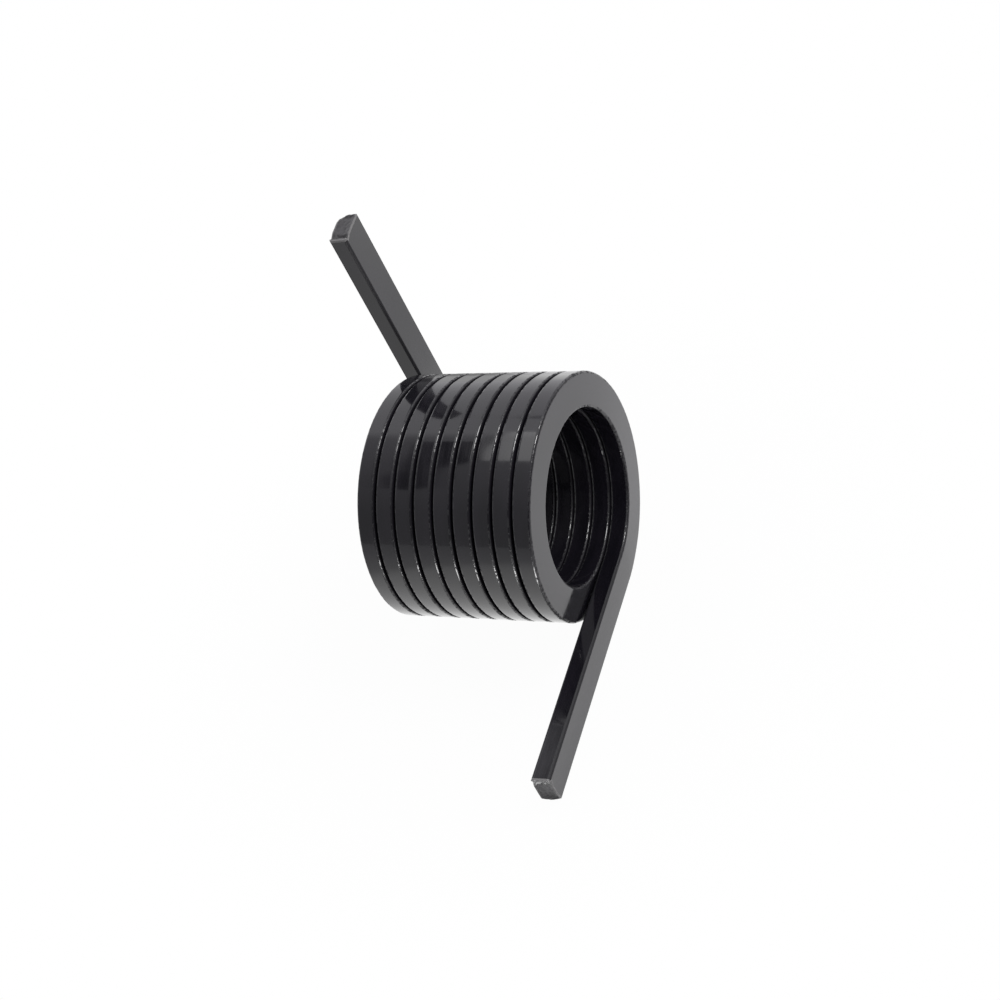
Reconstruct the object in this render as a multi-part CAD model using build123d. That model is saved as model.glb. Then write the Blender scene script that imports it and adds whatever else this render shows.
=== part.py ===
"""Left-hand torsion spring, coiled from rectangular wire with a straight tangential leg at each end.

Frame: millimetres, +Z up. The coil axis lies along Y and the origin is the centre of the bore.
The spring lies on its side: the front leg is flat on the ground along -X, the rear leg stands up.
"""
from build123d import *

import os
from math import radians, tan

# Wire
wire_width = 5.1  # across the coil, from the bore to the outside
wire_thickness = 2.75  # along the coil axis
wire_corner = 0.6  # radius of the four long edges

# Coil
bore_diameter = 25.0
coil_gap = 0.2  # free space between turns, at the middle of the wire's width
whole_turns = 9
leg_angle = 92.0  # wound past the whole turns, so also the angle between the legs
keystone = 0.25  # how strongly the bent wire thickens at the bore and thins outside
blend_angle = 15.0  # over which the straight wire's section turns into the bent wire's

# Legs, each sheared off at its free end; a lean above 0 leaves the outer face longer than the inner
front_leg_length = 38.45  # along the middle of the wire
front_shear_lean = -2.5
rear_leg_length = 38.35
rear_shear_lean = 6.5
shear_roll = 0.4  # radius of the outer edge, which the blade pressed over

# Machining allowances
bore_stock = 0.02  # wire inside the bore that bringing it to size takes off
tool_overrun = 5.0  # how far cutting tools reach past the wire

bore_radius = bore_diameter / 2
mean_radius = bore_radius + wire_width / 2
inner_side = bore_radius - bore_stock - mean_radius
outer_side = wire_width / 2
pitch = wire_thickness + coil_gap
coiled_angle = 360 * whole_turns + leg_angle
coil_rise = pitch * coiled_angle / 360
keystone_change = wire_thickness * keystone * wire_width / (2 * mean_radius)


def wire_section(thickness_change):
    """Section across the wire: X away from the coil axis, thicker inside and thinner outside."""
    half_inside = (wire_thickness + thickness_change) / 2
    half_outside = (wire_thickness - thickness_change) / 2
    outline = Polyline(
        (inner_side, -half_inside),
        (outer_side, -half_outside),
        (outer_side, half_outside),
        (inner_side, half_inside),
        close=True,
    )
    section = make_face(outline)
    return fillet(section.vertices(), wire_corner)


def coil_path(start_angle, end_angle):
    """Centre line of the wire between two angles, counted from the front leg."""
    rise = pitch * (end_angle - start_angle) / 360
    helix = Helix(pitch=pitch, height=rise, radius=mean_radius, lefthand=True)
    return helix.rotate(Axis.Z, -start_angle).translate((0, 0, pitch * start_angle / 360))


def across(path, fraction, along=1):
    """Plane across the wire, X away from the coil axis and Z along the wire or against it."""
    point = path @ fraction
    return Plane(origin=point, x_dir=(point.X, point.Y, 0), z_dir=(path % fraction) * along)


def leg(root, length, shear_lean):
    """Straight leg that leaves the coil at the root plane, sheared off at its free end."""
    straight = extrude(wire_section(0), length + tool_overrun)
    rise = tan(radians(shear_lean))
    cut_corner = (outer_side, length + outer_side * rise)
    outline = Polyline(
        (inner_side - tool_overrun, -tool_overrun),
        (outer_side, -tool_overrun),
        cut_corner,
        (inner_side - tool_overrun, length + (inner_side - tool_overrun) * rise),
        close=True,
    )
    side_view = make_face(outline)
    side_view = fillet(side_view.vertices().sort_by_distance((*cut_corner, 0))[0], shear_roll)
    return root * (straight & extrude(Plane.XZ * side_view, amount=wire_thickness, both=True))


def lead(path, first_change, last_change):
    """Stretch of the first or last turn where the wire's section changes."""
    sections = [
        across(path, 0) * wire_section(first_change),
        across(path, 1) * wire_section(last_change),
    ]
    return sweep(sections, path=path, multisection=True, is_frenet=True)


def wound_spring():
    """The spring with its coil axis on Z, rising from the end of the front leg."""
    lead_in = coil_path(0, blend_angle)
    turns = coil_path(blend_angle, coiled_angle - blend_angle)
    lead_out = coil_path(coiled_angle - blend_angle, coiled_angle)
    wire = leg(across(lead_in, 0, along=-1), front_leg_length, front_shear_lean)
    wire += lead(lead_in, 0, keystone_change)
    wire += sweep(across(turns, 0) * wire_section(keystone_change), path=turns, is_frenet=True)
    wire += lead(lead_out, keystone_change, 0)
    wire += leg(across(lead_out, 1), rear_leg_length, rear_shear_lean)
    return wire


def bore_tool():
    """Cylinder that brings the bore to size."""
    height = coil_rise + wire_thickness + 2 * tool_overrun
    return Pos(0, 0, coil_rise / 2) * Cylinder(bore_radius, height)


resting_place = Plane(origin=(0, -coil_rise / 2, 0), x_dir=(0, 0, -1), z_dir=(0, 1, 0))
torsion_spring = resting_place * (wound_spring() - bore_tool())

os.makedirs("parts", exist_ok=True)
export_step(torsion_spring, "parts/torsion_spring.step")
print("torsion_spring", round(torsion_spring.volume, 1), "mm3, pitch", round(pitch, 3), "mm")
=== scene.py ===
import math

import bmesh
import bpy
import numpy as np
from mathutils import Euler, Matrix, Vector


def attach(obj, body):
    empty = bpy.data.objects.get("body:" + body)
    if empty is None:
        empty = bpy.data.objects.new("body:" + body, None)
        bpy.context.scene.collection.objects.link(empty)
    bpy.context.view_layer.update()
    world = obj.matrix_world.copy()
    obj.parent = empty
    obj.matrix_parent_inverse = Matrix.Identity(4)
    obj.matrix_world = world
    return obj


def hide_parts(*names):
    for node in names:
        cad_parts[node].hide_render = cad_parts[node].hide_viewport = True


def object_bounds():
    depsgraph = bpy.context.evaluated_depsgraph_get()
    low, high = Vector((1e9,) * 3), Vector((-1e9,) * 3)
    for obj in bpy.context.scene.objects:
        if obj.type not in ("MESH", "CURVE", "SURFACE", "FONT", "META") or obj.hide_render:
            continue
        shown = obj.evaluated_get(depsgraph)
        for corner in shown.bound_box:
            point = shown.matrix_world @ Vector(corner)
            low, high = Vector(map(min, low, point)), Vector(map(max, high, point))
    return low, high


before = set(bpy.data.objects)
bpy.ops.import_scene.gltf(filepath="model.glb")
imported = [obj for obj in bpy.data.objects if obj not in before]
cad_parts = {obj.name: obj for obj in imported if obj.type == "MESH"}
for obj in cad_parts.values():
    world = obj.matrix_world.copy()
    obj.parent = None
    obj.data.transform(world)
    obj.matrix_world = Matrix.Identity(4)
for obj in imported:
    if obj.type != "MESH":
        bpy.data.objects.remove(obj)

cadLow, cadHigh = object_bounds()
mm = 0.001
fullTurn = 2 * math.pi

# One wire, coiled left-hand about Y: the front leg lies along -X, the rear leg stands up.
spring = {
    "wireWidth": 5.1 * mm,           # from the bore to the outside
    "wireThickness": 2.75 * mm,      # along the coil
    "cornerRadius": 0.4 * mm,
    "boreRadius": 12.5 * mm,
    "pitch": 2.95 * mm,
    "coiledAngle": math.radians(9 * 360 + 92),
    "keystone": 0.0424,              # share of its thickness that bent wire gains inside and loses outside
    "blendAngle": math.radians(15),  # over which a leg's section turns into the coil's
    "seed": 7,

    # How finely the wire is divided
    "turnSteps": 156,                # places along one turn, along one leg and round one corner
    "legSteps": 34,
    "cornerSteps": 6,
    "legSpacing": 1.15,              # above 1, a leg's places are closer near its end
    "flatRows": 5,                   # places across the wide sides, from this many corner radii inside the
    "flatMargin": 1.6,               # edges
    "flatColumns": 3,                # and across the narrow sides, out to this share of the half
    "columnReach": 0.6,
    "hold": 0.05 * mm,               # keeps the flats flat beside the corners

    # How unlike each other the turns are. A slow wave is given by the number of turns that it takes.
    "settled": math.radians(200),    # from a leg to where the turns are as uneven as they get
    "lean": math.radians(0.25),      # how far a turn tips, wanders along the coil and closes in
    "leanWaves": (0.9, 1.7, 3.1),
    "drift": 0.02 * mm,
    "driftWaves": (1.3, 2.6, 5.3),
    "closeIn": 0.02 * mm,
    "closeInWaves": (1.1, 2.9),
    "ripple": 0.0012 * mm,           # left by the coiling rolls. Its waves: travel for one radian, radians
    "rippleWaves": [                 # for each metre away from the axis and across, and strength
        (1.07 * mm, 0, 2.1 / mm, 1.0),
        (0.71 * mm, -1.7 / mm, 0, 1.0),
        (2.3 * mm, 0, 0, 0.7),
        (1.6 * mm, 1 / mm, 0, 0.7),
    ],

    # The sheared ends. A blade comes down on a leg's outer face, and a lean above 0 leaves that face longer.
    # It also presses the outer corners down, the one towards the front by the first depth.
    "frontLeg": {"length": 38.44 * mm, "lean": math.radians(-2.5), "pressed": (0.45 * mm, 0.08 * mm)},
    "rearLeg": {"length": 38.35 * mm, "lean": math.radians(6.5), "pressed": (0.0, 0.75 * mm)},
    "roll": 0.4 * mm,                # radius of the outer edge
    "pressedSize": 1.5 * mm,         # of the pressed corners, and how hollow they are
    "pressedPower": 1.7,
    "lip": 0.42 * mm,                # smooth band along the inner edge
    "lipWaves": [                    # along its border: depth, distance for one radian, shift
        (0.09 * mm, 0.21 * mm, 1.0),
        (0.05 * mm, 0.09 * mm, 0.0),
    ],
    "ledge": 0.32 * mm,              # how far the torn part is below the lip, over what width it drops, and
    "ledgeWidth": 0.07 * mm,         # where that ends
    "ledgeEnd": 1.6 * mm,
    "dish": 0.28 * mm,               # hollow in the middle of the torn part
    "dishStart": 0.12 * mm,          # widths of its slopes behind the lip and at the outer edge
    "dishEnd": 0.9 * mm,
    "dishPower": 0.7,                # below 1, it is flatter in the middle
    "tear": 0.080 * mm,              # roughness of the torn part, and the sizes of its lumps
    "tearSizes": (0.9 * mm, 0.6 * mm, 0.4 * mm, 0.28 * mm),
    "tearWaves": (0.3, 0.31, 0.5),   # distances for one radian, in sizes: away from the axis, across, and for
    "tearBend": 1.3,                 # the bends, which go this far either way, in radians
    "lipTear": 0.12,                 # share of that roughness on the lip
    "rimTear": 0.2,                  # and along the rim, which ends this far in
    "rimTearWidth": 0.4 * mm,
    "edge": 0.08 * mm,               # small round along the rim
    "rimRings": [(0.0, 4.0), (0.0, 1.0), (0.15, 0.3), (0.5, 0.0)],  # its rings: in and back, in edge sizes
    "rimStart": 1.5 * mm,            # a leg's even rings stop this far before its end
    "cuts": 5,                       # how often the torn face is cut finer

    # Where the coat is worn, and where painted shade darkens it between the turns
    "coilFade": 4.0 * mm,            # length of leg over which the coil's chafing fades out
    "gapStart": 0.5,                 # painted shade between turns starts this far inside the wire's side, and is full after this much more, in corner radii
    "gapFade": 0.4,                  # this much more, in corner radii
}
halfWidth, halfThickness = spring["wireWidth"] / 2, spring["wireThickness"] / 2


def smoothRise(x):
    x = np.clip(x, 0, 1)
    return x * x * (3 - 2 * x)


def unit(v):
    return v / np.linalg.norm(v, axis=-1, keepdims=True)


def slowWave(angles, rng, turns):  # a smooth wandering value along the wire, within 1 either way
    waves = [rng.uniform(0.5, 1) * np.sin(angles / each + rng.uniform(0, fullTurn)) for each in turns]
    return sum(waves) / len(turns)


def sectionGrid():
    # Places over the wire's section: rows from the bore to the outside, columns across the thickness.
    r, hold = spring["cornerRadius"], spring["hold"]
    arc = np.linspace(0, math.pi / 2, spring["cornerSteps"] + 1)
    corner = -halfWidth + r * (1 - np.cos(arc))
    cornerHalf = halfThickness - r * (1 - np.sin(arc))
    middle = halfWidth - spring["flatMargin"] * r
    middle = np.linspace(-middle, middle, spring["flatRows"])
    flat = np.concatenate([[-halfWidth + r + hold], middle, [halfWidth - r - hold]])
    rows = np.concatenate([corner, flat, -corner[::-1]])
    halves = np.concatenate([cornerHalf, np.full(len(flat), halfThickness), cornerHalf[::-1]])
    besideCorner = 1 - hold / (halfThickness - r)
    reach = spring["columnReach"]
    narrow = np.linspace(-reach, reach, spring["flatColumns"])
    columns = np.concatenate([[-1, -besideCorner], narrow, [besideCorner, 1]])
    return np.repeat(rows[:, None], len(columns), axis=1), halves[:, None] * columns[None, :]


def rimOrder(rows, columns):  # the grid's border places, one after another
    grid = np.arange(rows * columns).reshape(rows, columns)
    return np.concatenate([grid[0, :-1], grid[:-1, -1], grid[-1, :0:-1], grid[:0:-1, 0]])


def unevenTurns(angles, rng):
    # At each place along the wire: how bent it is, its lean, its drift and how far it closes in.
    toLeg = np.minimum(angles, angles[-1] - angles)
    inCoil = smoothRise(toLeg / spring["settled"])
    return np.stack([
        smoothRise(toLeg / spring["blendAngle"]),
        inCoil * slowWave(angles, rng, spring["leanWaves"]) * spring["lean"],
        inCoil * slowWave(angles, rng, spring["driftWaves"]) * spring["drift"],
        inCoil * (0.5 + 0.5 * slowWave(angles, rng, spring["closeInWaves"])) * spring["closeIn"],
    ], 1)


def wireLine(rng):
    # The middle of the wire: points with their ways out from the axis, along the wire and along the coil,
    # the coiled angle, the distance travelled and the unevenness.
    radius = spring["boreRadius"] + halfWidth
    slope = spring["pitch"] / (fullTurn * radius)
    total = spring["coiledAngle"]
    rise = spring["pitch"] * total / fullTurn
    coil = np.linspace(0, total, round(total / fullTurn * spring["turnSteps"]) + 1)
    share = 1 - np.linspace(0, 1, spring["legSteps"], endpoint=False) ** spring["legSpacing"]
    front, rear = (share * (spring[leg]["length"] - spring["rimStart"]) for leg in ("frontLeg", "rearLeg"))
    reach = np.concatenate([-front, np.zeros(len(coil)), rear[::-1]])
    angles = np.concatenate([np.zeros(len(share)), coil, np.full(len(share), total)])
    theta = angles - math.pi / 2
    out = np.stack([np.cos(theta), np.zeros_like(theta), np.sin(theta)], 1)
    along = unit(np.stack([-np.sin(theta), np.full_like(theta, slope), np.cos(theta)], 1))
    point = radius * out + np.outer(spring["pitch"] * angles / fullTurn - rise / 2, (0, 1, 0))
    point += along * reach[:, None]
    side = np.cross(out, along)
    side *= np.sign(side[:, 1:2])
    travel = np.concatenate([[0], np.cumsum(np.linalg.norm(np.diff(point, axis=0), axis=1))])
    return {"point": point, "out": out, "along": along, "side": side, "angle": angles, "travel": travel,
            "uneven": unevenTurns(angles, rng)}


def wireRing(line, i, u, w, reach):
    # Points of a section: u away from the axis, w across the thickness, and reach further along the wire.
    bent, lean, drift, closeIn = line["uneven"][i]
    thick = w * (1 - spring["keystone"] * bent * u / halfWidth) + drift + lean * u
    far = u - closeIn * (u + halfWidth) / spring["wireWidth"]
    flat = line["point"][i] + np.outer(far, line["out"][i]) + np.outer(thick, line["side"][i])
    return flat + np.outer(reach, line["along"][i])


def coilRings(line, u, w, rng):
    # Rings along the legs and the coil with a slight ripple: their points, the same places along the wire,
    # away from the axis and across, and how deep they are between turns, for the painted shade there.
    waves = spring["rippleWaves"]
    shifts = rng.uniform(0, fullTurn, len(waves))
    highest = sum(strength for length, away, across, strength in waves)
    angles, count = line["angle"], len(u)
    corner = spring["cornerRadius"]
    fromSide = np.abs(w) - halfThickness + spring["gapStart"] * corner
    intoGap = smoothRise(fromSide / (spring["gapFade"] * corner))
    rings, places, gapShadeMask = [], [], []
    for i, s in enumerate(line["travel"]):
        ripple = sum(strength * np.sin(s / length + shift + away * u + across * w)
                     for (length, away, across, strength), shift in zip(waves, shifts))
        squeeze = 1 - spring["ripple"] * (highest + ripple) / spring["wireWidth"]
        rings.append(wireRing(line, i, u * squeeze, w * squeeze, np.zeros(count)))
        places.append(np.stack([np.full(count, s), u, w], 1))
        onCoil = 0 < angles[i] < angles[-1]
        hasNeighbour = np.where(w < 0, angles[i], angles[-1] - angles[i]) > fullTurn
        gapShadeMask.append(onCoil * hasNeighbour * intoGap)
    return rings, places, gapShadeMask


def leaningCut(u, lean):  # a plain cut with its outer edge rolled over
    r = spring["roll"]
    centre = halfWidth - r
    arc = centre * math.tan(lean) - r / math.cos(lean) + np.sqrt(np.maximum(r * r - (u - centre) ** 2, 0))
    return np.where(u > centre - r * math.sin(lean), arc, u * math.tan(lean))


def tornRoughness(u, w, rng):
    away, across, bending = spring["tearWaves"]
    usual = 1.2  # the sum of the lumps seldom passes this
    lumps = np.zeros_like(u)
    for size in spring["tearSizes"]:
        a, b, c = rng.uniform(0, fullTurn, 3)
        bend = spring["tearBend"] * np.sin(w / (size * bending) + b)
        lumps += size / mm * np.sin(u / (size * away) + a + bend) * np.sin(w / (size * across) + c)
    return np.abs(lumps) / usual


def shearedFace(u, w, leg, rng):
    # How far the cut face reaches past the leg's length, at places over the section.
    reach = leaningCut(u, leg["lean"])
    pastLip = u + halfWidth - spring["lip"]
    border = sum(depth * np.sin(w / length + shift) for depth, length, shift in spring["lipWaves"])
    dropped = smoothRise((pastLip + border) / spring["ledgeWidth"])
    back = smoothRise(pastLip / (spring["ledgeEnd"] - spring["lip"]))
    reach -= spring["ledge"] * dropped * (1 - back)

    torn = smoothRise(pastLip / spring["dishStart"])
    hollow = torn * smoothRise((halfWidth - u) / spring["dishEnd"])
    reach -= spring["dish"] * hollow * (1 - (w / halfThickness) ** 2) ** spring["dishPower"]

    size = spring["pressedSize"]
    outward = np.clip((u - halfWidth + size) / size, 0, 1)
    sideways = np.clip((np.abs(w) - halfThickness + size) / size, 0, 1)
    reach -= np.where(w < 0, *leg["pressed"]) * (outward * sideways) ** spring["pressedPower"]

    fromRim = np.minimum(halfWidth - np.abs(u), halfThickness - np.abs(w))
    byRim = spring["rimTear"] + (1 - spring["rimTear"]) * smoothRise(fromRim / spring["rimTearWidth"])
    onTorn = spring["lipTear"] + (1 - spring["lipTear"]) * torn
    reach -= spring["tear"] * byRim * onTorn * tornRoughness(u, w, rng)
    return reach


def cutSection(line, end, u, w, inset, drop):
    # A leg's cut face, set in from the rim and back along the leg: its points and their places on the wire.
    last, sign = end["last"], end["sign"]
    rng = np.random.default_rng(end["seed"])
    soft = spring["edge"]
    reach = sign * (shearedFace(u, w, end["leg"], rng) + spring["rimStart"] - drop * soft)
    narrow, thin = 1 - inset * soft / halfWidth, 1 - inset * soft / halfThickness
    points = wireRing(line, last, u * narrow, w * thin, reach)
    return points, np.stack([line["travel"][last] + reach, u, w], 1)


def ringSkin(rings, count):  # quads between rings of points, each ring with that many places
    step = np.arange(count)
    start = np.arange(rings - 1)[:, None] * count
    nextStep = np.roll(step, -1)
    sides = (start + step, start + nextStep, start + count + nextStep, start + count + step)
    return np.stack(sides, -1).reshape(-1, 4).tolist()


def gridSkin(grid):  # quads over a grid of points
    sides = (grid[:-1, :-1], grid[:-1, 1:], grid[1:, 1:], grid[1:, :-1])
    return np.stack(sides, -1).reshape(-1, 4).tolist()


def addRims(line, ends, u, w, rim, rings, places, gapShadeMask):
    # Adds the rings that round the rim of each end, and returns the whole cut faces that they lead to.
    cutFaces = []
    for end in ends:
        for inset, drop in spring["rimRings"]:
            facePoints, facePlaces = cutSection(line, end, u, w, inset, drop)
            rimRing = (facePoints[rim], facePlaces[rim], np.zeros(len(rim)))
            for kept, ring in zip((rings, places, gapShadeMask), rimRing):
                kept.insert(0 if end["sign"] < 0 else len(kept), ring)
        cutFaces.append((facePoints, facePlaces))
    return cutFaces


def coilShare(line, s):  # 1 on the coil, fading out along the legs
    angles, travel = line["angle"], line["travel"]
    start, end = travel[np.argmax(angles > 0) - 1], travel[np.argmax(angles >= angles[-1])]
    return 1 - smoothRise(np.maximum(start - s, s - end) / spring["coilFade"])


def saveOnPoints(mesh, name, values):
    kind, key = ("FLOAT_VECTOR", "vector") if values.ndim > 1 else ("FLOAT", "value")
    mesh.attributes.new(name, kind, "POINT").data.foreach_set(key, values.ravel())


def refineEnds(mesh, line, ends, firstInside):
    # Cuts both torn faces finer and moves their places onto the true shape.
    shape = bmesh.new()
    shape.from_mesh(mesh)
    shape.verts.ensure_lookup_table()
    inner = [edge for edge in shape.edges if min(v.index for v in edge.verts) >= firstInside]
    bmesh.ops.subdivide_edges(shape, edges=inner, cuts=spring["cuts"], use_grid_fill=True)
    shape.verts.ensure_lookup_table()
    kept = shape.verts.layers.float_vector["alongWire"]
    fine = shape.verts[firstInside:]
    places = np.array([v[kept][:] for v in fine]) * mm
    middle = line["travel"][-1] / 2
    for end in ends:
        mine = np.flatnonzero((places[:, 0] - middle) * end["sign"] > 0)
        points, _ = cutSection(line, end, places[mine, 1], places[mine, 2], *spring["rimRings"][-1])
        for i, point in zip(mine, points):
            fine[i].co = point
    bmesh.ops.recalc_face_normals(shape, faces=shape.faces)
    shape.to_mesh(mesh)
    shape.free()


def addObject(name, data):
    thing = bpy.data.objects.new(name, data)
    bpy.context.scene.collection.objects.link(thing)
    return thing


def makeSpring():
    rng = np.random.default_rng(spring["seed"])
    line = wireLine(rng)
    u, w = sectionGrid()
    rows, columns = u.shape
    rim = rimOrder(rows, columns)
    u, w, count = u.ravel(), w.ravel(), len(rim)
    rings, places, gapShadeMask = coilRings(line, u[rim], w[rim], rng)
    ends = [
        {"leg": spring["frontLeg"], "last": 0, "sign": -1, "seed": int(rng.integers(1000))},
        {"leg": spring["rearLeg"], "last": -1, "sign": 1, "seed": int(rng.integers(1000))},
    ]
    cutFaces = addRims(line, ends, u, w, rim, rings, places, gapShadeMask)
    points, places, gapShadeMask = (np.concatenate(part) for part in (rings, places, gapShadeMask))
    faces = ringSkin(len(rings), count)
    strips = np.arange(len(rings) - 1)
    onRim = np.minimum(strips, strips[::-1]) < len(spring["rimRings"]) - 1
    finish = np.repeat(onRim, count).astype(int).tolist()

    # The cut faces: their border is the outermost ring, their inside is new
    inside = np.setdiff1d(np.arange(rows * columns), rim)
    firstInside = len(points)
    for ring, (facePoints, facePlaces) in zip((0, len(rings) - 1), cutFaces):
        index = np.zeros(rows * columns, int)
        index[rim] = ring * count + np.arange(count)
        index[inside] = len(points) + np.arange(len(inside))
        points = np.concatenate([points, facePoints[inside]])
        places = np.concatenate([places, facePlaces[inside]])
        faces += gridSkin(index.reshape(rows, columns))
    finish += [1] * (len(faces) - len(finish))
    gapShadeMask = np.concatenate([gapShadeMask, np.zeros(len(points) - firstInside)])

    mesh = bpy.data.meshes.new("torsionSpring")
    mesh.from_pydata(points.tolist(), [], faces)
    mesh.polygons.foreach_set("material_index", finish)
    saveOnPoints(mesh, "alongWire", places / mm)
    saveOnPoints(mesh, "coiled", coilShare(line, places[:, 0]))
    saveOnPoints(mesh, "paintedGapShade", gapShadeMask)
    refineEnds(mesh, line, ends, firstInside)
    mesh.shade_smooth()
    triangles = sum(len(face.vertices) - 2 for face in mesh.polygons)
    print("torsion spring:", len(mesh.vertices), "points,", triangles, "triangles")
    return addObject("torsionSpring", mesh)


def addNode(tree, kind, **settings):
    node = tree.nodes.new(kind)
    for key, value in settings.items():
        setattr(node, key, value)
    return node


def feed(tree, socket, value):  # a plain value, or what another node gives
    if isinstance(value, bpy.types.NodeSocket):
        tree.links.new(value, socket)
    else:
        socket.default_value = value


def calc(tree, operation, *values, clamp=False):
    node = addNode(tree, "ShaderNodeMath", operation=operation, use_clamp=clamp)
    for socket, value in zip(node.inputs, values):
        feed(tree, socket, value)
    return node.outputs[0]


def vectorCalc(tree, operation, *values):
    node = addNode(tree, "ShaderNodeVectorMath", operation=operation)
    for socket, value in zip(node.inputs, values):
        feed(tree, socket, value)
    return node.outputs["Value" if operation in ("LENGTH", "DISTANCE") else "Vector"]


def splitVector(tree, vector):
    node = addNode(tree, "ShaderNodeSeparateXYZ")
    tree.links.new(vector, node.inputs[0])
    return node.outputs


def fade(tree, value, edge, start=0.0, end=1.0, kind="SMOOTHSTEP"):
    # Goes from start to end while the value goes through the edge.
    node = addNode(tree, "ShaderNodeMapRange", interpolation_type=kind)
    names = ("Value", "From Min", "From Max", "To Min", "To Max")
    for name, given in zip(names, (value, *edge, start, end)):
        feed(tree, node.inputs[name], given)
    return node.outputs["Result"]


def blend(tree, share, low, high, kind="FLOAT"):
    node = addNode(tree, "ShaderNodeMix", data_type=kind)
    a, b, result = (2, 3, 0) if kind == "FLOAT" else (6, 7, 2)  # the node has other sockets for colours
    for i, value in ((0, share), (a, low), (b, high)):
        feed(tree, node.inputs[i], value)
    return node.outputs[result]


def newGroup(name, inputs, outputs):
    group = bpy.data.node_groups.new(name, "ShaderNodeTree")
    for label, kind, value in inputs:
        socket = group.interface.new_socket(label, in_out="INPUT", socket_type="NodeSocket" + kind)
        if value is not None:
            socket.default_value = value
    for label, kind in outputs:
        group.interface.new_socket(label, in_out="OUTPUT", socket_type="NodeSocket" + kind)
    return group, group.nodes.new("NodeGroupInput").outputs, group.nodes.new("NodeGroupOutput").inputs


# Patches of the coats. Each noise is given by its patches per millimetre along the wire, away from the axis
# and across, then its detail and roughness.
coatPatches = {
    "cloud": ((0.10, 0.35, 0.35), 3.0, 0.55),
    "streak": ((0.12, 5.5, 5.5), 2.0, 0.55),
    "peel": ((0.9, 1.3, 1.3), 3.0, 0.55),
    "chafing": ((2.6, 2.6, 2.6), 1.5, 0.5),
    "colourEdge": (0.35, 0.65),  # where the noise fades for the colour, the gloss and the chafed spots
    "glossEdge": (0.3, 0.7),
    "chafingEdge": (0.48, 0.57),
    "wideEdge": 6.0,             # how soon the band along an edge is as strong as it gets
}


def noise(tree, place, name):
    stretch, detail, roughness = coatPatches[name]
    node = addNode(tree, "ShaderNodeTexNoise")
    node.inputs["Scale"].default_value = 1.0
    node.inputs["Detail"].default_value = detail
    node.inputs["Roughness"].default_value = roughness
    tree.links.new(vectorCalc(tree, "MULTIPLY", place, stretch), node.inputs["Vector"])
    return node.outputs["Fac"]


def makeCoatSkin():
    # Fine unevenness of a coat. Place is in millimetres: along the wire, away from the axis, across.
    group, given, out = newGroup("coatSkin", [
        ("Place", "Vector", None),
        ("Dark", "Color", None),
        ("Light", "Color", None),
        ("Smooth", "Float", 0.1),
        ("Dull", "Float", 0.2),
        ("Drawn", "Float", 0.5),
        ("Peel", "Float", 0.5),
    ], [("Colour", "Color"), ("Roughness", "Float"), ("Height", "Float")])
    cloud, streak, peel = (noise(group, given["Place"], name) for name in ("cloud", "streak", "peel"))
    lightness = fade(group, cloud, coatPatches["colourEdge"])
    feed(group, out["Colour"], blend(group, lightness, given["Dark"], given["Light"], "RGBA"))
    clouded, streaked = (fade(group, pattern, coatPatches["glossEdge"]) for pattern in (cloud, streak))
    dullness = blend(group, given["Drawn"], clouded, streaked)
    feed(group, out["Roughness"], blend(group, dullness, given["Smooth"], given["Dull"]))
    grooves = calc(group, "MULTIPLY", streak, given["Drawn"])
    feed(group, out["Height"], calc(group, "MULTIPLY_ADD", peel, given["Peel"], grooves))
    return group


def makeEdgeMasks():
    # Where on the wire a place is: by a long edge, in the wide band along it, in chafed spots there, by any
    # side of the section, and by its inner side.
    group, given, out = newGroup("edgeMasks", [
        ("Place", "Vector", None),
        ("Edge Size", "Float", 0.6),
        ("Rim Size", "Float", 0.2),
        ("Lip Size", "Float", 0.4),
    ], [("Edge", "Float"), ("Wide Edge", "Float"), ("Chafed", "Float"), ("Rim", "Float"), ("Lip", "Float")])

    def near(value, limit, size):  # 1 at the limit, 0 a size before it
        past = calc(group, "SUBTRACT", value, calc(group, "SUBTRACT", limit / mm, size))
        return calc(group, "DIVIDE", past, size, clamp=True)

    def nearSides(size):  # by the outer or inner side, and by the front or rear side
        return near(away, halfWidth, size), near(across, halfThickness, size)

    _, y, z = splitVector(group, given["Place"])
    away, across = (calc(group, "ABSOLUTE", value) for value in (y, z))
    edge = calc(group, "MULTIPLY", *nearSides(given["Edge Size"]))
    wide = calc(group, "MULTIPLY", edge, coatPatches["wideEdge"], clamp=True)
    spots = fade(group, noise(group, given["Place"], "chafing"), coatPatches["chafingEdge"])
    feed(group, out["Edge"], edge)
    feed(group, out["Wide Edge"], wide)
    feed(group, out["Chafed"], calc(group, "MULTIPLY", wide, spots))
    feed(group, out["Rim"], calc(group, "MAXIMUM", *nearSides(given["Rim Size"])))
    feed(group, out["Lip"], near(calc(group, "MULTIPLY", y, -1.0), halfWidth, given["Lip Size"]))
    return group


blackCoat = {
    "dark": (0.0066, 0.0062, 0.0088, 1),
    "light": (0.0100, 0.0088, 0.0128, 1),
    "worn": [("Edge", (0.018, 0.017, 0.020, 1))],  # masks, and the colour that the coat has there
    "smooth": 0.07,              # roughness of its smoothest and its dullest patches
    "dull": 0.20,
    "drawn": 0.35,               # share of fine lines along the wire
    "peel": 0.6,                 # share of soft unevenness
    "grain": 1.0,                # how much finer its patches are
    "depth": 0.0022 * mm,        # of its unevenness
    "edgeDepth": 3.0,            # how many times as uneven the edges are
    "chafing": 4.0,              # depth of the coil's chafed spots, as a multiple of the unevenness's own
    "chafedDull": 0.6,           # roughness where the smooth gloss is gone
    "legEdges": 1.0,             # how evenly dull the legs' edges are
    "specular": 0.5,
    "gapSpecular": 0.0,          # painted shade: no gloss deep between the turns, so that the gaps read dark
    "clearWeight": 1.0,          # the smoothest part of the gloss
    "clearRoughness": 0.05,
    "clearIOR": 1.33,
}
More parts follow.
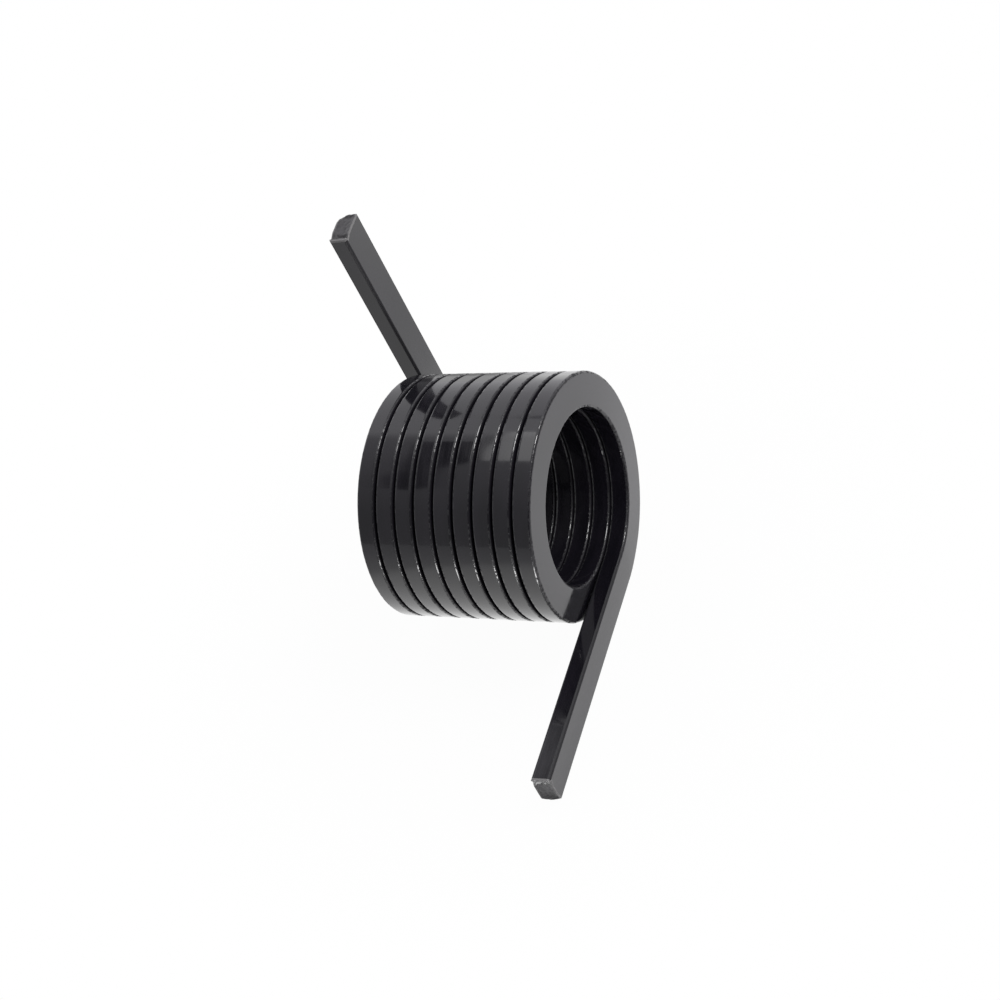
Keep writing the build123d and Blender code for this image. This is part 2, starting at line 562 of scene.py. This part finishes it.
shearedCoat = {
    "dark": (0.014, 0.013, 0.015, 1),
    "light": (0.045, 0.043, 0.047, 1),
    "worn": [("Rim", (0.170, 0.166, 0.166, 1)), ("Lip", (0.16, 0.157, 0.157, 1))],
    "rimSize": 0.2 * mm,         # width of the band along the rim
    "smooth": 0.26,
    "dull": 0.52,
    "drawn": 0.2,
    "peel": 1.0,
    "grain": 2.6,
    "depth": 0.012 * mm,
    "specular": 0.5,
    "clearWeight": 0.35,
    "clearRoughness": 0.12,
    "clearIOR": 1.4,
}


def startCoat(name, look, skin, masks):
    # What both coats share: the material with its shader, its two groups, its colour and its plain values.
    material = bpy.data.materials.new(name)
    material.use_nodes = True
    tree = material.node_tree
    shader = tree.nodes["Principled BSDF"].inputs
    shader["Specular IOR Level"].default_value = look["specular"]
    shader["Coat Weight"].default_value = look["clearWeight"]
    shader["Coat Roughness"].default_value = look["clearRoughness"]
    shader["Coat IOR"].default_value = look["clearIOR"]
    place = addNode(tree, "ShaderNodeAttribute", attribute_name="alongWire").outputs["Vector"]
    surface = addNode(tree, "ShaderNodeGroup", node_tree=skin)
    feed(tree, surface.inputs["Place"], vectorCalc(tree, "MULTIPLY", place, [look["grain"]] * 3))
    for socket in ("Dark", "Light", "Smooth", "Dull", "Drawn", "Peel"):
        surface.inputs[socket].default_value = look[socket.lower()]
    edges = addNode(tree, "ShaderNodeGroup", node_tree=masks)
    feed(tree, edges.inputs["Place"], place)
    edges.inputs["Edge Size"].default_value = spring["cornerRadius"] / mm
    edges.inputs["Lip Size"].default_value = spring["lip"] / mm
    colour = surface.outputs["Colour"]
    for mask, worn in look["worn"]:
        colour = blend(tree, edges.outputs[mask], colour, worn, "RGBA")
    feed(tree, shader["Base Color"], colour)
    return material, shader, surface.outputs, edges


def addBump(tree, shader, height, depth):
    bump = addNode(tree, "ShaderNodeBump")
    bump.inputs["Strength"].default_value = 1.0
    bump.inputs["Distance"].default_value = depth
    feed(tree, bump.inputs["Height"], height)
    feed(tree, shader["Normal"], bump.outputs["Normal"])


def makeBlackCoat(skin, masks):
    look = blackCoat
    material, shader, surface, edges = startCoat("blackCoat", look, skin, masks)
    tree, edges = material.node_tree, edges.outputs
    coiled, gapShade = (addNode(tree, "ShaderNodeAttribute", attribute_name=name).outputs["Fac"]
                       for name in ("coiled", "paintedGapShade"))

    # The smooth gloss is worn off in the coil's chafed spots and along the legs' edges, and is taken away
    # between the turns as painted shade
    chafed = calc(tree, "MULTIPLY", edges["Chafed"], coiled)
    onLegs = calc(tree, "MULTIPLY_ADD", coiled, -look["legEdges"], look["legEdges"])
    legEdges = calc(tree, "MULTIPLY", edges["Wide Edge"], onLegs)
    wearAndGapShade = calc(tree, "MAXIMUM", calc(tree, "MAXIMUM", chafed, legEdges), gapShade)
    feed(tree, shader["Roughness"], blend(tree, wearAndGapShade, surface["Roughness"], look["chafedDull"]))
    clear = calc(tree, "MULTIPLY_ADD", wearAndGapShade, -look["clearWeight"], look["clearWeight"])
    feed(tree, shader["Coat Weight"], clear)
    # painted shade: no clear coat and no specular deep between the turns
    lost = look["gapSpecular"] - look["specular"]
    feed(tree, shader["Specular IOR Level"], calc(tree, "MULTIPLY_ADD", gapShade, lost, look["specular"]))

    deeper = calc(tree, "MULTIPLY_ADD", edges["Edge"], look["edgeDepth"] - 1, 1)
    dents = calc(tree, "MULTIPLY", chafed, -look["chafing"])
    height = calc(tree, "MULTIPLY_ADD", surface["Height"], deeper, dents)
    addBump(tree, shader, height, look["depth"])
    print("material: black coat")
    return material


def makeShearedCoat(skin, masks):
    material, shader, surface, edges = startCoat("shearedCoat", shearedCoat, skin, masks)
    tree = material.node_tree
    edges.inputs["Rim Size"].default_value = shearedCoat["rimSize"] / mm
    feed(tree, shader["Roughness"], surface["Roughness"])
    addBump(tree, shader, surface["Height"], shearedCoat["depth"])
    print("material: sheared coat")
    return material


# The floor is plain white to the camera, with a little of the lit floor and its shadow near the spring. The
# coil's gloss sees painted light and shade on it: painted white near the spring, more right under the coil,
# and on the light side; painted shade in front of and behind the coil and a long painted shadow on the light
# side; and the floor as it is lit elsewhere.
floorLook = {
    "colour": (0.80, 0.80, 0.80, 1),
    "halfSize": 4.0,
    "below": 0.02 * mm,               # how far it is under the spring
    "shadowShare": 0.03,              # how much of the lit floor the camera sees near the spring
    "shadowEdge": (0.028, 0.075),     # distances between which that goes back to plain white
    "glossShare": 0.84,               # white in the floor's reflection near the spring
    "glossEdge": (0.045, 0.130),
    "poolShare": 0.16,                # painted pool of light: more white right under the coil
    "poolEdge": (0.016, 0.030),
    "frontShade": (-0.017, -0.011),   # painted shade: less white in front of the coil, in full up to the first Y
    "frontShare": 0.25,
    "farFrontShade": (-0.095, -0.065),     # painted shade, darker far in front, in the same way
    "farShare": 0.35,
    "lightSide": (0.05, 0.12),        # the floor is white again beyond this along X
    "rearShade": (0.028, 0.040),      # painted shade, darker behind the coil too, beyond this along Y
    "rearShare": 0.62,
    "sideAngle": math.radians(24),    # long soft shadow on the light side: its direction,
    "sideFrom": (0.028, 0.0, 0.0),    # a point on its front border
    "sideSpread": 0.25,               # distance over which it gets twice as wide
    "sideBorders": ((0.0, 0.011), (0.024, 0.034)),  # its soft borders along both sides, and its soft start
    "sideStart": (0.004, 0.020),
    "sideShades": (0.24, 0.72),       # its brightness near the coil and far away
    "sideHalfway": 0.1,               # distance that counts as half the way out to far away,
    "sideFade": (0.17, 0.84),         # and the parts of the way between which it gets brighter
}


def sideShadow(tree, place):
    # The long shadow in the floor's reflection: where it is, and how bright the floor is in it.
    turned = addNode(tree, "ShaderNodeVectorRotate", rotation_type="Z_AXIS")
    turned.inputs["Angle"].default_value = -floorLook["sideAngle"]
    feed(tree, turned.inputs["Vector"], vectorCalc(tree, "SUBTRACT", place, floorLook["sideFrom"]))
    x, y, _ = splitVector(tree, turned.outputs["Vector"])
    onward = calc(tree, "MAXIMUM", x, 0.0)
    aside = calc(tree, "DIVIDE", y, calc(tree, "MULTIPLY_ADD", onward, 1 / floorLook["sideSpread"], 1.0))
    first, second = floorLook["sideBorders"]
    shadow = calc(tree, "MULTIPLY", fade(tree, aside, first), fade(tree, aside, second, 1, 0))
    shadow = calc(tree, "MULTIPLY", shadow, fade(tree, x, floorLook["sideStart"]))
    away = calc(tree, "DIVIDE", onward, calc(tree, "ADD", onward, floorLook["sideHalfway"]))
    return shadow, fade(tree, away, floorLook["sideFade"], *floorLook["sideShades"], kind="LINEAR")


def mirroredFloor(tree, place, distance):
    # What the coil's gloss sees of the floor, as painted light and shade: where it is white, and how bright
    # that white is.
    x, y, _ = splitVector(tree, place)
    gloss = fade(tree, distance, floorLook["glossEdge"], floorLook["glossShare"], 0)
    pool = fade(tree, distance, floorLook["poolEdge"], floorLook["poolShare"], 0)
    front = fade(tree, y, floorLook["frontShade"], floorLook["frontShare"], 1)
    lightSide = fade(tree, x, floorLook["lightSide"])
    shadow, shadowShade = sideShadow(tree, place)
    close = calc(tree, "MULTIPLY", calc(tree, "ADD", gloss, pool), front)
    white = calc(tree, "MAXIMUM", calc(tree, "MAXIMUM", close, lightSide), shadow)

    rear = calc(tree, "MAXIMUM", fade(tree, y, floorLook["rearShade"], 1, floorLook["rearShare"]), lightSide)
    farFrontShade = fade(tree, y, floorLook["farFrontShade"], floorLook["farShare"], 1)
    shaded = calc(tree, "MULTIPLY_ADD", shadow, calc(tree, "SUBTRACT", shadowShade, 1.0), 1.0)
    return white, calc(tree, "MULTIPLY", calc(tree, "MULTIPLY", rear, farFrontShade), shaded)


def makePaleFloor():
    material = bpy.data.materials.new("paleFloor")
    material.use_nodes = True
    tree = material.node_tree
    tree.nodes.clear()
    place = addNode(tree, "ShaderNodeTexCoord").outputs["Object"]
    distance = vectorCalc(tree, "LENGTH", place)
    white, brightness = mirroredFloor(tree, place, distance)
    path = addNode(tree, "ShaderNodeLightPath").outputs
    mirrored = calc(tree, "ADD", path["Is Glossy Ray"], path["Is Transmission Ray"], clamp=True)
    near = fade(tree, distance, floorLook["shadowEdge"], 1, 0)
    seen = calc(tree, "MULTIPLY_ADD", near, -floorLook["shadowShare"], 1.0)
    share = calc(tree, "MULTIPLY_ADD", path["Is Camera Ray"], seen, calc(tree, "MULTIPLY", mirrored, white))

    lit = addNode(tree, "ShaderNodeBsdfDiffuse")
    lit.inputs["Color"].default_value = floorLook["colour"]
    plain = addNode(tree, "ShaderNodeEmission")
    strength = calc(tree, "MULTIPLY_ADD", mirrored, calc(tree, "SUBTRACT", brightness, 1.0), 1.0)
    feed(tree, plain.inputs["Strength"], strength)
    both = addNode(tree, "ShaderNodeMixShader")
    for socket, value in zip(both.inputs, (share, lit.outputs[0], plain.outputs[0])):
        feed(tree, socket, value)
    feed(tree, addNode(tree, "ShaderNodeOutputMaterial").inputs["Surface"], both.outputs[0])
    return material


def makeFloor():
    size, z = floorLook["halfSize"], cadLow.z - floorLook["below"]
    mesh = bpy.data.meshes.new("floor")
    corners = [(-size, -size, z), (size, -size, z), (size, size, z), (-size, size, z)]
    mesh.from_pydata(corners, [], [(0, 1, 2, 3)])
    mesh.materials.append(makePaleFloor())
    floor = addObject("floor", mesh)
    print("floor: done")


studioRoom = {
    # Brightness along X, from the dark side to the light side
    "shades": [(-1.0, 0.30), (-0.75, 0.31), (-0.45, 0.42), (-0.1, 0.53), (0.17, 0.57), (0.26, 1.04),
               (0.55, 0.92), (0.83, 0.77), (0.91, 0.84), (1.0, 0.86)],
    "top": 2.0,                     # brightness for which the ramp holds a 1
    "tint": (0.992, 0.985, 1.020),
    "nook": (0.500, 0.395, 0.768),  # way to a small dark nook, its soft border and the brightness left in it
    "nookEdge": (0.034, 0.050),
    "nookShare": 0.3,
    "front": ((0.70, 0.85), (-0.30, -0.04), (0.50, 0.68)),  # where the dark front ends, along X, Y and Z
    "frontShare": 0.25,             # brightness left there, in the gloss alone
}


def makeRoom():
    world = bpy.data.worlds.new("studioRoom")
    bpy.context.scene.world = world
    world.use_nodes = True
    tree = world.node_tree
    tree.nodes.clear()
    place = addNode(tree, "ShaderNodeTexCoord").outputs["Generated"]
    path = addNode(tree, "ShaderNodeLightPath").outputs
    axes = splitVector(tree, place)
    top = studioRoom["top"]
    ramp = addNode(tree, "ShaderNodeValToRGB")
    stops = ramp.color_ramp.elements
    while len(stops) < len(studioRoom["shades"]):
        stops.new(0.5)
    for stop, (x, brightness) in zip(stops, studioRoom["shades"]):
        stop.position = (x + 1) / 2
        stop.color = (*(brightness / top * part for part in studioRoom["tint"]), 1)
    feed(tree, ramp.inputs["Fac"], fade(tree, axes["X"], (-1, 1), kind="LINEAR"))

    toNook = vectorCalc(tree, "DISTANCE", place, studioRoom["nook"])
    nook = fade(tree, toNook, studioRoom["nookEdge"], studioRoom["nookShare"] * top, top)
    front = path["Is Glossy Ray"]
    for axis, edge in zip(axes, studioRoom["front"]):
        front = calc(tree, "MULTIPLY", fade(tree, axis, edge, 1, 0), front)
    left = calc(tree, "MULTIPLY_ADD", front, studioRoom["frontShare"] - 1, 1)

    room, white = (addNode(tree, "ShaderNodeBackground") for i in range(2))
    feed(tree, room.inputs["Strength"], calc(tree, "MULTIPLY", nook, left))
    feed(tree, room.inputs["Color"], ramp.outputs["Color"])
    white.inputs["Color"].default_value = (1, 1, 1, 1)
    both = addNode(tree, "ShaderNodeMixShader")
    for socket, value in zip(both.inputs, (path["Is Camera Ray"], room.outputs[0], white.outputs[0])):
        feed(tree, socket, value)
    feed(tree, addNode(tree, "ShaderNodeOutputWorld").inputs["Surface"], both.outputs[0])
    print("room: done")


lamps = {  # a brightness of 1 is white, as a mirror shows it
    "keyLamp": {"place": (0.014, -0.066, 0.112), "size": (0.048, 0.044), "brightness": 11.0},
    "topPanel": {"place": (-0.002, 0.026, 0.115), "size": (0.052, 0.032), "brightness": 1.1},
}
lampTarget = (-0.005, -0.004, 0.012)  # all of them face this


def makeLamps():
    for name, look in lamps.items():
        data = bpy.data.lights.new(name, "AREA")
        data.shape = "RECTANGLE"
        data.size, data.size_y = look["size"]
        data.energy = look["brightness"] * math.pi * data.size * data.size_y
        lamp = addObject(name, data)
        lamp.location = look["place"]
        towards = Vector(lampTarget) - Vector(look["place"])
        lamp.rotation_euler = towards.to_track_quat("-Z", "Y").to_euler()
        lamp.visible_camera = False
    print("lamps:", ", ".join(lamps))


cards = {  # flat cards with a faded border, seen only in the coil's gloss, as painted reflections
    # painted dark reflection: a dark card above the coil
    "darkFlag": {
        "height": 0.115,
        "corners": [(0.008, 0.0465), (0.008, 0.060), (-0.012, 0.0615), (-0.045, 0.0685), (-0.062, 0.076),
                    (-0.088, 0.0835), (-0.093, 0.079), (-0.080, 0.0685), (-0.042, 0.0575), (-0.026, 0.0470)],
        "soft": 0.0025,
        "glow": 0.05,
    },
    # painted highlight: a glowing card by the floor, no lamp, that puts thin bright streaks on the coil's
    # corners
    "lowCard": {
        "height": -0.0168,
        "corners": [(-0.046, -0.026), (-0.046, -0.005), (-0.084, 0.001), (-0.084, -0.034)],
        "soft": 0.004,
        "glow": 11.0,
    },
}
cardColour = (0.005, 0.005, 0.005, 1)


# Material of a card: dark, or glowing as a painted highlight
def makePaintedReflection(name, glow):
    reflectionMaterial = bpy.data.materials.new(name)
    reflectionMaterial.use_nodes = True
    tree = reflectionMaterial.node_tree
    shader = tree.nodes["Principled BSDF"].inputs
    shader["Base Color"].default_value = cardColour
    shader["Specular IOR Level"].default_value = 0
    shader["Emission Color"].default_value = (1, 1, 1, 1)
    shader["Emission Strength"].default_value = glow
    cover = addNode(tree, "ShaderNodeAttribute", attribute_name="cover")
    feed(tree, shader["Alpha"], cover.outputs["Fac"])
    return reflectionMaterial


def makeCard(name, look):
    outline = np.array(look["corners"])
    along = unit(np.roll(outline, -1, axis=0) - np.roll(outline, 1, axis=0))
    outward = np.stack([along[:, 1], -along[:, 0]], 1) * look["soft"] / 2
    corners = np.concatenate([outline - outward, outline + outward])
    count = len(outline)
    border = [(i, (i + 1) % count, count + (i + 1) % count, count + i) for i in range(count)]
    mesh = bpy.data.meshes.new(name)
    mesh.from_pydata([(x, y, look["height"]) for x, y in corners], [], [range(count)] + border)
    saveOnPoints(mesh, "cover", np.repeat([1.0, 0.0], count))
    mesh.materials.append(makePaintedReflection(name + "Cloth", look["glow"]))
    card = addObject(name, mesh)
    card.visible_camera = card.visible_diffuse = card.visible_shadow = False
    print("card:", name)


cameraView = {
    "place": (-0.142611, -0.105154, 0.154128),
    "turned": (46.0245, 18.6242, -70.6635),  # degrees about X, Y and Z
    "lens": 59.224,
    "sensorWidth": 36,
    "clip": (0.01, 50),
}


def makeCamera():
    data = bpy.data.cameras.new("camera")
    data.sensor_width = cameraView["sensorWidth"]
    data.lens = cameraView["lens"]
    data.clip_start, data.clip_end = cameraView["clip"]
    camera = addObject("camera", data)
    turned = Euler([math.radians(angle) for angle in cameraView["turned"]])
    camera.matrix_world = Matrix.LocRotScale(Vector(cameraView["place"]), turned, None)
    bpy.context.scene.camera = camera
    print("camera: done")


piece = makeSpring()
skin, masks = makeCoatSkin(), makeEdgeMasks()
piece.data.materials.append(makeBlackCoat(skin, masks))
piece.data.materials.append(makeShearedCoat(skin, masks))
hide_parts("torsion_spring")
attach(piece, "root")
makeFloor()
makeRoom()
makeLamps()
for name, look in cards.items():
    makeCard(name, look)
makeCamera()
bpy.context.scene.view_settings.view_transform = "Standard"
